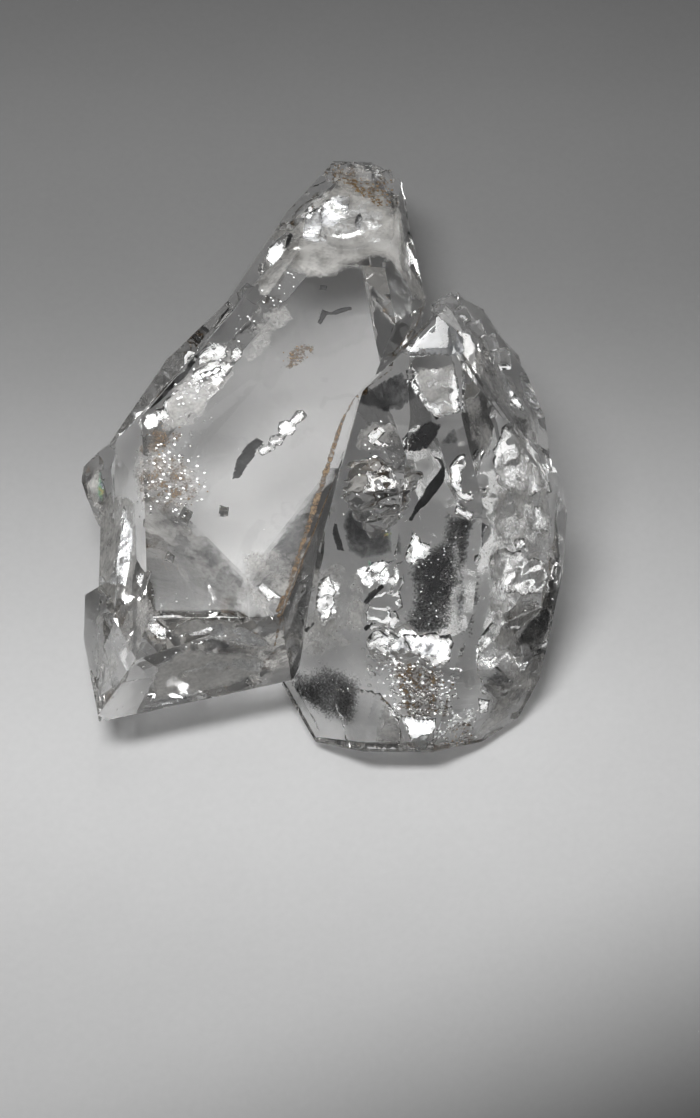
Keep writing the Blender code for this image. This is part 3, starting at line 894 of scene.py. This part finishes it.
def seam_sheet(tree):
    """The seam's strip of iron stain, just under the faces, cut fine, and the line round it."""
    strip = bmesh.new()
    rows = []
    for number, (px, py, width) in enumerate(SEAM[:-1]):
        far_px, far_py, far_width = SEAM[number + 1]
        parts = max(1, int(math.hypot(far_px - px, far_py - py) / SEAM_STEP))
        for part in range(parts):
            share = part / parts
            middle = px + (far_px - px) * share
            down = py + (far_py - py) * share
            swelling = 1 + 0.5 * noise.noise((down / SEAM_WANDER, 0, 0))
            wide = (width + (far_width - width) * share) * swelling
            row = []
            for side in (-0.5, -0.25, 0, 0.25, 0.5):
                place, way, face_way = sight_inside(tree, middle + side * wide, down)
                row.append(strip.verts.new(place + way * SEAM_DEPTH * MM))
            rows.append(row)
    for near, far in zip(rows, rows[1:]):
        for number in range(4):
            strip.faces.new([near[number], far[number], far[number + 1], near[number + 1]])
    strip.normal_update()
    strip.verts.index_update()
    rim = [row[0].co for row in rows] + [row[-1].co for row in reversed(rows)]
    return strip, rim


def add_crack(skin, tree, outline, depth, normal, ripple, ragged, seed):
    """A thin air-filled crack inside the quartz, seen inside an outline of the photograph."""
    wide = max(px for px, py in outline) - min(px for px, py in outline)
    small = wide < SMALL_CRACK
    grain = FINE_MESH if small else COARSE_MESH
    wave = (ripple, SHORT_RIPPLE if small else LONG_RIPPLE)
    sheet = flat_patch(tree, outline, depth, normal, ragged, seed, grain)
    thin_lens(skin, sheet, normal, wave, CRACK_GAP, seed, hollow=True)


def input_value(node, name, value):
    """Sets one input of a shader node."""
    node.inputs[name].default_value = value


def join_mesh(target, mesh):
    """Adds a mesh to another, and gives back its new faces."""
    first = len(target.faces)
    target.from_mesh(mesh)
    target.faces.ensure_lookup_table()
    return target.faces[first:]


def strew_tree():
    """Geometry nodes that strew small rounded grains over a sheet."""
    tree = bpy.data.node_groups.new("strew", "GeometryNodeTree")
    sockets = tree.interface
    sockets.new_socket("Sheet", in_out="INPUT", socket_type="NodeSocketGeometry")
    for name in ("Density", "Smallest", "Largest", "Spread", "Thickness", "Wander"):
        sockets.new_socket(name, in_out="INPUT", socket_type="NodeSocketFloat")
    sockets.new_socket("Turn", in_out="INPUT", socket_type="NodeSocketVector")
    sockets.new_socket("Facets", in_out="INPUT", socket_type="NodeSocketInt")
    sockets.new_socket("Seed", in_out="INPUT", socket_type="NodeSocketInt")
    sockets.new_socket("Material", in_out="INPUT", socket_type="NodeSocketMaterial")
    sockets.new_socket("Grains", in_out="OUTPUT", socket_type="NodeSocketGeometry")
    nodes, links = tree.nodes, tree.links
    given = nodes.new("NodeGroupInput")
    result = nodes.new("NodeGroupOutput")
    points = nodes.new("GeometryNodeDistributePointsOnFaces")
    links.new(given.outputs["Sheet"], points.inputs["Mesh"])
    links.new(given.outputs["Density"], points.inputs["Density"])
    links.new(given.outputs["Seed"], points.inputs["Seed"])
    shift = nodes.new("FunctionNodeRandomValue")
    shift.data_type = "FLOAT_VECTOR"
    shift.inputs[0].default_value = (-1, -1, -1)
    shift.inputs[1].default_value = (1, 1, 1)
    links.new(given.outputs["Seed"], shift.inputs["Seed"])
    spread = nodes.new("ShaderNodeVectorMath")
    spread.operation = "SCALE"
    links.new(shift.outputs[0], spread.inputs[0])
    links.new(given.outputs["Spread"], spread.inputs["Scale"])
    moved = nodes.new("GeometryNodeSetPosition")
    links.new(points.outputs["Points"], moved.inputs["Geometry"])
    links.new(spread.outputs[0], moved.inputs["Offset"])
    ball = nodes.new("GeometryNodeMeshIcoSphere")
    input_value(ball, "Radius", 0.5)
    links.new(given.outputs["Facets"], ball.inputs["Subdivisions"])
    size = nodes.new("FunctionNodeRandomValue")
    links.new(given.outputs["Smallest"], size.inputs[2])
    links.new(given.outputs["Largest"], size.inputs[3])
    links.new(given.outputs["Seed"], size.inputs["Seed"])
    shape = nodes.new("ShaderNodeCombineXYZ")
    shape.inputs["X"].default_value = 1.0
    shape.inputs["Y"].default_value = 0.7
    links.new(given.outputs["Thickness"], shape.inputs["Z"])
    stretch = nodes.new("ShaderNodeVectorMath")
    stretch.operation = "SCALE"
    links.new(shape.outputs["Vector"], stretch.inputs[0])
    links.new(size.outputs[1], stretch.inputs["Scale"])
    chance = nodes.new("FunctionNodeRandomValue")
    chance.data_type = "FLOAT_VECTOR"
    chance.inputs[0].default_value = (-1, -1, -1)
    chance.inputs[1].default_value = (1, 1, 1)
    lean = nodes.new("ShaderNodeVectorMath")
    lean.operation = "SCALE"
    links.new(chance.outputs[0], lean.inputs[0])
    links.new(given.outputs["Wander"], lean.inputs["Scale"])
    turn = nodes.new("ShaderNodeVectorMath")
    links.new(given.outputs["Turn"], turn.inputs[0])
    links.new(lean.outputs[0], turn.inputs[1])
    strewn = nodes.new("GeometryNodeInstanceOnPoints")
    links.new(moved.outputs["Geometry"], strewn.inputs["Points"])
    links.new(ball.outputs["Mesh"], strewn.inputs["Instance"])
    links.new(stretch.outputs[0], strewn.inputs["Scale"])
    links.new(turn.outputs[0], strewn.inputs["Rotation"])
    real = nodes.new("GeometryNodeRealizeInstances")
    links.new(strewn.outputs["Instances"], real.inputs["Geometry"])
    dressed = nodes.new("GeometryNodeSetMaterial")
    links.new(real.outputs["Geometry"], dressed.inputs["Geometry"])
    links.new(given.outputs["Material"], dressed.inputs["Material"])
    links.new(dressed.outputs["Geometry"], result.inputs["Grains"])
    return tree


def strew(group, tree, field, seed, material, normal, kind):
    """Grains of one kind strewn over a sheet in the quartz, as a plain mesh."""
    depth, density, smallest, largest, spread, outline = field
    thickness, wander, facets, margin = kind
    face_way = sight_inside(tree, *outline_middle(outline))[2]
    sheet, rim = flat_patch(tree, outline, depth, face_way, 0, seed, 1.0)
    guide_mesh = bpy.data.meshes.new("guide")
    sheet.to_mesh(guide_mesh)
    sheet.free()
    values = {
        "Density": density / MM / MM,
        "Smallest": smallest * MM,
        "Largest": largest * MM,
        "Spread": spread * MM,
        "Thickness": thickness,
        "Wander": wander,
        "Turn": list(normal.to_track_quat("Z", "Y").to_euler()),
        "Facets": facets,
        "Seed": seed,
        "Material": material,
    }
    guide = bpy.data.objects.new("guide", guide_mesh)
    bpy.context.scene.collection.objects.link(guide)
    modifier = guide.modifiers.new("strew", "NODES")
    modifier.node_group = group
    for item in group.interface.items_tree:
        if item.item_type == "SOCKET" and item.name in values:
            modifier[item.identifier] = values[item.name]
    shown = guide.evaluated_get(bpy.context.evaluated_depsgraph_get())
    grains = bpy.data.meshes.new_from_object(shown)
    bpy.data.objects.remove(guide, do_unlink=True)
    drop_outside(grains, tree, GRAIN_CORNERS[facets], margin)
    return grains


def set_stops(ramp, stops):
    """Gives a colour ramp its stops, each a position and a colour."""
    elements = ramp.color_ramp.elements
    elements.remove(elements[1])
    for number, (position, colour) in enumerate(stops):
        stop = elements.new(position) if number else elements[0]
        stop.position = position
        stop.color = (*colour, 1)


def mottle_group():
    """A shader group: blotches with finer grain in them, as a value from 0 to 1 over the surface."""
    group = bpy.data.node_groups.new("mottle", "ShaderNodeTree")
    sockets = group.interface
    for name in ("Blotch Scale", "Grain Scale", "Grain Share", "Contrast"):
        sockets.new_socket(name, in_out="INPUT", socket_type="NodeSocketFloat")
    sockets.new_socket("Value", in_out="OUTPUT", socket_type="NodeSocketFloat")
    nodes, links = group.nodes, group.links
    given = nodes.new("NodeGroupInput")
    result = nodes.new("NodeGroupOutput")
    place = nodes.new("ShaderNodeTexCoord")
    blend = nodes.new("ShaderNodeMix")
    links.new(given.outputs["Grain Share"], blend.inputs["Factor"])
    for name, socket in (("Blotch Scale", "A"), ("Grain Scale", "B")):
        pattern = nodes.new("ShaderNodeTexNoise")
        input_value(pattern, "Detail", 4)
        links.new(place.outputs["Object"], pattern.inputs["Vector"])
        links.new(given.outputs[name], pattern.inputs["Scale"])
        links.new(pattern.outputs["Fac"], blend.inputs[socket])
    centred = nodes.new("ShaderNodeMath")
    centred.operation = "SUBTRACT"
    centred.inputs[1].default_value = 0.5
    links.new(blend.outputs["Result"], centred.inputs[0])
    spread = nodes.new("ShaderNodeMath")
    spread.operation = "MULTIPLY_ADD"
    spread.use_clamp = True
    spread.inputs[2].default_value = 0.5
    links.new(centred.outputs["Value"], spread.inputs[0])
    links.new(given.outputs["Contrast"], spread.inputs[1])
    links.new(spread.outputs["Value"], result.inputs["Value"])
    return group


def add_mottle(material, blotch, grain, share, contrast):
    """Places the mottle group in a material, with its own values."""
    mottle = material.node_tree.nodes.new("ShaderNodeGroup")
    mottle.node_tree = bpy.data.node_groups["mottle"]
    input_value(mottle, "Blotch Scale", blotch)
    input_value(mottle, "Grain Scale", grain)
    input_value(mottle, "Grain Share", share)
    input_value(mottle, "Contrast", contrast)
    return mottle.outputs["Value"]


def add_range(owner, value, low, high, start=0.0, end=1.0, way="LINEAR"):
    """Turns a value that runs from start to end into one that runs from low to high."""
    spread = owner.node_tree.nodes.new("ShaderNodeMapRange")
    spread.interpolation_type = way
    input_value(spread, "From Min", start)
    input_value(spread, "From Max", end)
    input_value(spread, "To Min", low)
    input_value(spread, "To Max", high)
    owner.node_tree.links.new(value, spread.inputs["Value"])
    return spread.outputs["Result"]


def add_product(material, first, second):
    """Multiplies two values."""
    product = material.node_tree.nodes.new("ShaderNodeMath")
    product.operation = "MULTIPLY"
    material.node_tree.links.new(first, product.inputs[0])
    material.node_tree.links.new(second, product.inputs[1])
    return product.outputs["Value"]


def add_share_along(owner, value, way):
    """How far a place or a direction reaches along a given way."""
    along = owner.node_tree.nodes.new("ShaderNodeVectorMath")
    along.operation = "DOT_PRODUCT"
    along.inputs[1].default_value = way
    owner.node_tree.links.new(value, along.inputs[0])
    return along.outputs["Value"]


def add_reach(material, place, way, reach, near, far, kind="SMOOTHSTEP"):
    """A value that runs from near to far over a reach along a given way, in millimetres."""
    along = add_share_along(material, place, way)
    return add_range(material, along, near, far, reach[0] * MM, reach[1] * MM, kind)


def add_bump(material, value, strength, distance):
    """Feeds a value to the material's surface as small relief."""
    nodes, links = material.node_tree.nodes, material.node_tree.links
    bump = nodes.new("ShaderNodeBump")
    input_value(bump, "Strength", strength)
    input_value(bump, "Distance", distance)
    links.new(value, bump.inputs["Height"])
    links.new(bump.outputs["Normal"], nodes["Principled BSDF"].inputs["Normal"])


def new_material(name):
    """A new material with its plain surface."""
    material = bpy.data.materials.new(name)
    material.use_nodes = True
    return material, material.node_tree.nodes["Principled BSDF"]


def quartz_material():
    """Clear quartz, with a trace of dust on its skin and a trace of haze inside."""
    quartz, glass = new_material("clear_quartz")
    nodes, links = quartz.node_tree.nodes, quartz.node_tree.links
    input_value(glass, "Base Color", (1, 1, 1, 1))
    input_value(glass, "IOR", QUARTZ_INDEX)
    input_value(glass, "Transmission Weight", 1.0)
    dust = add_mottle(quartz, 900, 9000, 0.5, 4)
    links.new(add_range(quartz, dust, 0.0, 0.05, 0.75, 1.0), glass.inputs["Roughness"])
    growth = add_mottle(quartz, 350, 1800, 0.12, 1.5)
    add_bump(quartz, growth, 0.02, 0.0002)
    haze = nodes.new("ShaderNodeVolumeAbsorption")
    input_value(haze, "Color", (*HAZE_COLOUR, 1))
    input_value(haze, "Density", QUARTZ_HAZE)
    links.new(haze.outputs["Volume"], nodes["Material Output"].inputs["Volume"])
    let_light_on(quartz, glass)
    return quartz


def let_light_on(quartz, glass):
    """Lets a share of the lamp's light straight through the quartz, for its shadow."""
    nodes, links = quartz.node_tree.nodes, quartz.node_tree.links
    path = nodes.new("ShaderNodeLightPath")
    slant = nodes.new("ShaderNodeLayerWeight")
    input_value(slant, "Blend", 0.5)
    straight = add_range(quartz, slant.outputs["Facing"], LEVEL_LIGHT, STEEP_LIGHT, *SLANT_RANGE)
    share = add_product(quartz, path.outputs["Is Shadow Ray"], straight)
    clear = nodes.new("ShaderNodeBsdfTransparent")
    both = nodes.new("ShaderNodeMixShader")
    links.new(share, both.inputs["Fac"])
    links.new(glass.outputs["BSDF"], both.inputs[1])
    links.new(clear.outputs["BSDF"], both.inputs[2])
    links.new(both.outputs["Shader"], nodes["Material Output"].inputs["Surface"])


def mottled_material(name, tones, blotch, grain, share, contrast, roughness, metallic):
    """A surface with tones over its blotches, and the value of the blotches."""
    material, surface = new_material(name)
    nodes, links = material.node_tree.nodes, material.node_tree.links
    mottle = add_mottle(material, blotch, grain, share, contrast)
    tone = nodes.new("ShaderNodeValToRGB")
    last = len(tones) - 1
    set_stops(tone, [(number / last, colour) for number, colour in enumerate(tones)])
    links.new(mottle, tone.inputs["Fac"])
    links.new(tone.outputs["Color"], surface.inputs["Base Color"])
    input_value(surface, "Metallic", metallic)
    dull = add_range(material, mottle, roughness + 0.1, roughness - 0.1)
    links.new(dull, surface.inputs["Roughness"])
    add_bump(material, mottle, 0.3, 0.00005)
    return material, mottle


def veil_material(*values):
    """A finish for flakes and veils, as dense as its cover and its blotches say."""
    veil, mottle = mottled_material(*values)
    nodes, links = veil.node_tree.nodes, veil.node_tree.links
    cover = nodes.new("ShaderNodeAttribute")
    cover.attribute_name = "cover"
    thin = nodes.new("ShaderNodeMath")
    thin.operation = "SUBTRACT"
    thin.inputs[1].default_value = 1
    links.new(mottle, thin.inputs[0])
    dense = nodes.new("ShaderNodeMath")
    dense.operation = "MULTIPLY_ADD"
    dense.use_clamp = True
    dense.inputs[1].default_value = 2
    links.new(cover.outputs["Fac"], dense.inputs[0])
    links.new(thin.outputs["Value"], dense.inputs[2])
    links.new(dense.outputs["Value"], nodes["Principled BSDF"].inputs["Alpha"])
    return veil


def paper_material():
    """Pale paper with painted light, brighter in the middle of the lamp's light, with painted shade in the
    near right corner and along the right side, and its own fibre grain.
    """
    paper, surface = new_material("pale_paper")
    nodes, links = paper.node_tree.nodes, paper.node_tree.links
    input_value(surface, "Roughness", 0.8)
    input_value(surface, "Specular IOR Level", 0.2)
    place = nodes.new("ShaderNodeTexCoord").outputs["Object"]
    # Painted light: the tones along the paper stand in for the lamp's pool and its falloff
    away = add_reach(paper, place, (0, 1, 0), PAPER_PAINTED_LIGHT_REACH, 0, 1, "LINEAR")
    painted_light_falloff = nodes.new("ShaderNodeValToRGB")
    painted_light_falloff.color_ramp.interpolation = "B_SPLINE"
    set_stops(painted_light_falloff, [(position, (tone, tone, tone)) for position, tone in PAPER_PAINTED_LIGHT_TONES])
    links.new(away, painted_light_falloff.inputs["Fac"])
    # Painted shade in the near right corner and along the right side; the fibre mottle is the paper's own
    # grain
    corner = add_reach(paper, place, PAPER_PAINTED_SHADE_CORNER_WAY, PAPER_PAINTED_SHADE_CORNER_REACH, 1, 0)
    right = add_reach(paper, place, (1, 0, 0), PAPER_PAINTED_SHADE_RIGHT_REACH, 1, PAPER_PAINTED_SHADE_RIGHT_TONE)
    fibre = add_mottle(paper, 260, 2600, 0.6, 2)
    add_bump(paper, fibre, 0.15, 0.00004)
    shade = add_product(paper, add_product(paper, corner, right), add_range(paper, fibre, 0.97, 1.03))
    shaded = nodes.new("ShaderNodeVectorMath")
    shaded.operation = "SCALE"
    links.new(painted_light_falloff.outputs["Color"], shaded.inputs[0])
    links.new(shade, shaded.inputs["Scale"])
    links.new(shaded.outputs[0], surface.inputs["Base Color"])
    return paper


def add_skin(node, strew_group, quartz, seeds):
    """The quartz's skin with its cracks and bubbles. Gives back the tree of its faces."""
    skin = fine_skin(node)
    tree = BVHTree.FromBMesh(skin)
    wear_skin(skin)
    for face in skin.faces:
        face.smooth = True
    for depth, ripple, ragged, outline in BRIGHT_CRACKS.values():
        normal = lamp_turn(tree, *outline_middle(outline))
        add_crack(skin, tree, outline, depth, normal, ripple, ragged, next(seeds))
    for depth, heading, tilt, ripple, ragged, outline in DARK_CRACKS.values():
        normal = facing(heading, tilt)
        add_crack(skin, tree, outline, depth, normal, ripple, ragged, next(seeds))
    for field in BUBBLE_FIELDS.values():
        normal = lamp_turn(tree, *outline_middle(field[-1]))
        bubbles = strew(strew_group, tree, field, next(seeds), quartz, normal, BUBBLE)
        fresh = join_mesh(skin, bubbles)
        bmesh.ops.reverse_faces(skin, faces=fresh)
        for face in fresh:
            face.smooth = True
    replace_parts(add_piece("quartz_skin", skin, quartz), "quartz_cluster")
    return tree


def add_stain(tree, strew_group, seeds):
    """Grains of iron stain on the tip and inside the quartz."""
    stain, mottle = mottled_material(*IRON_STAIN)
    grains = bmesh.new()
    for field in STAINS.values():
        join_mesh(grains, strew(strew_group, tree, field, next(seeds), stain, Vector((0, 0, 1)), CRUMB))
    add_piece("iron_grains", grains, stain)


def add_glitter(tree, strew_group, seeds):
    """Bright grains in the druse and the veils, turned to mirror the lamp."""
    glitter, mottle = mottled_material(*SILVER_GLITTER)
    grains = bmesh.new()
    for field in GLITTER.values():
        normal = lamp_turn(tree, *outline_middle(field[-1]))
        join_mesh(grains, strew(strew_group, tree, field, next(seeds), glitter, normal, SPANGLE))
    add_piece("glitter_grains", grains, glitter)


def add_flakes(tree, seeds):
    """Black carbon flakes."""
    flakes = bmesh.new()
    for depth, ragged, outline in FLAKES.values():
        seed = next(seeds)
        normal = sight_inside(tree, *outline_middle(outline))[2]
        sheet = flat_patch(tree, outline, depth, normal, ragged, seed, FINE_MESH)
        thin_lens(flakes, sheet, normal, (FLAKE_RIPPLE, SHORT_RIPPLE), FLAKE_THICKNESS, seed)
    add_piece("carbon_flakes", flakes, veil_material(*BLACK_CARBON))


def add_veils(tree, seeds):
    """The thin veils and films, painted shade and painted colour flashes among them, a piece for each
    finish, and the stained seam.
    """
    veils = {finish: bmesh.new() for finish in FINISHES}
    for finish, depth, ripple, ragged, cover, soft, outline in VEILS.values():
        seed = next(seeds)
        normal = sight_inside(tree, *outline_middle(outline))[2]
        if finish == "silver_film":
            normal = lamp_turn(tree, *outline_middle(outline))
        sheet = flat_patch(tree, outline, depth, normal, ragged, seed, VEIL_MESH)
        wave = (ripple, SHORT_RIPPLE)
        thin_lens(veils[finish], sheet, normal, wave, VEIL_THICKNESS, seed, cover=cover, soft=soft)
    wave = (SEAM_RIPPLE, SHORT_RIPPLE)
    up = Vector((0, 0, 1))
    seam = seam_sheet(tree)
    thin_lens(
        veils["iron_film"], seam, up, wave, SEAM_THICKNESS, seed, cover=SEAM_COVER, soft=SEAM_SOFT
    )
    for finish, shape in veils.items():
        add_piece(finish + "s", shape, veil_material(finish, *FINISHES[finish]))


def lay_floor():
    """The sheet of pale paper."""
    mesh = bpy.data.meshes.new("floor")
    side = FLOOR_SIDE * MM
    down = -FLOOR_DROP * MM
    corners = [(-side, -side, down), (side, -side, down), (side, side, down), (-side, side, down)]
    mesh.from_pydata(corners, [], [(0, 1, 2, 3)])
    floor = bpy.data.objects.new("floor", mesh)
    bpy.context.scene.collection.objects.link(floor)
    mesh.materials.append(paper_material())


def add_area_lamp(name, size, power, spread, place, way):
    """A flat rectangular lamp."""
    lamp = bpy.data.lights.new(name, "AREA")
    lamp.shape = "RECTANGLE"
    lamp.size = size[0] * MM
    lamp.size_y = size[1] * MM
    lamp.energy = power
    lamp.spread = math.radians(spread)
    hung = bpy.data.objects.new(name, lamp)
    hang_lamp(hung, place, way)
    bpy.context.scene.collection.objects.link(hung)


def add_room():
    """The dim room that the crystal mirrors."""
    room = bpy.data.worlds.new("dim_room")
    room.use_nodes = True
    nodes, links = room.node_tree.nodes, room.node_tree.links
    look = nodes.new("ShaderNodeTexCoord").outputs["Generated"]
    turned = add_share_along(room, look, ROOM_BRIGHT_WAY)
    tone = add_range(room, turned, ROOM_DARK, ROOM_BRIGHT, *ROOM_REACH, "SMOOTHSTEP")
    links.new(tone, nodes["Background"].inputs["Strength"])
    input_value(nodes["Background"], "Color", (1, 1, 1, 1))
    bpy.context.scene.world = room


def add_camera():
    """The photograph's camera."""
    eye = bpy.data.cameras.new("camera")
    eye.lens = LENS
    eye.sensor_width = FILM
    camera = bpy.data.objects.new("camera", eye)
    place, turn = camera_pose()
    camera.matrix_world = Matrix.Translation(place) @ turn
    bpy.context.scene.collection.objects.link(camera)
    bpy.context.scene.camera = camera


def set_light_paths():
    """How often a ray may bend or bounce inside the quartz, and how tones are shown."""
    scene = bpy.context.scene
    scene.view_settings.view_transform = "Standard"
    scene.cycles.max_bounces = 16
    scene.cycles.transmission_bounces = 14
    scene.cycles.glossy_bounces = 10
    scene.cycles.transparent_max_bounces = 12


for old in list(bpy.data.objects):
    bpy.data.objects.remove(old, do_unlink=True)
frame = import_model()

noise.seed_set(WAVE_SEED)
mottle_group()
grain_group = strew_tree()
seeds = itertools.count(1)
quartz_tree = add_skin(frame["nodes"]["quartz_cluster"], grain_group, quartz_material(), seeds)
add_stain(quartz_tree, grain_group, seeds)
add_glitter(quartz_tree, grain_group, seeds)
add_flakes(quartz_tree, seeds)
add_veils(quartz_tree, seeds)

lay_floor()
add_area_lamp("lamp", LAMP_SIZE, LAMP_POWER, LAMP_SPREAD, lamp_place(), LAMP_WAY)
panel_place = Vector(PANEL_WAY).normalized() * PANEL_DISTANCE * MM
add_area_lamp("ceiling_panel", PANEL_SIZE, PANEL_POWER, PANEL_SPREAD, panel_place, PANEL_WAY)
add_room()
add_camera()
set_light_paths()
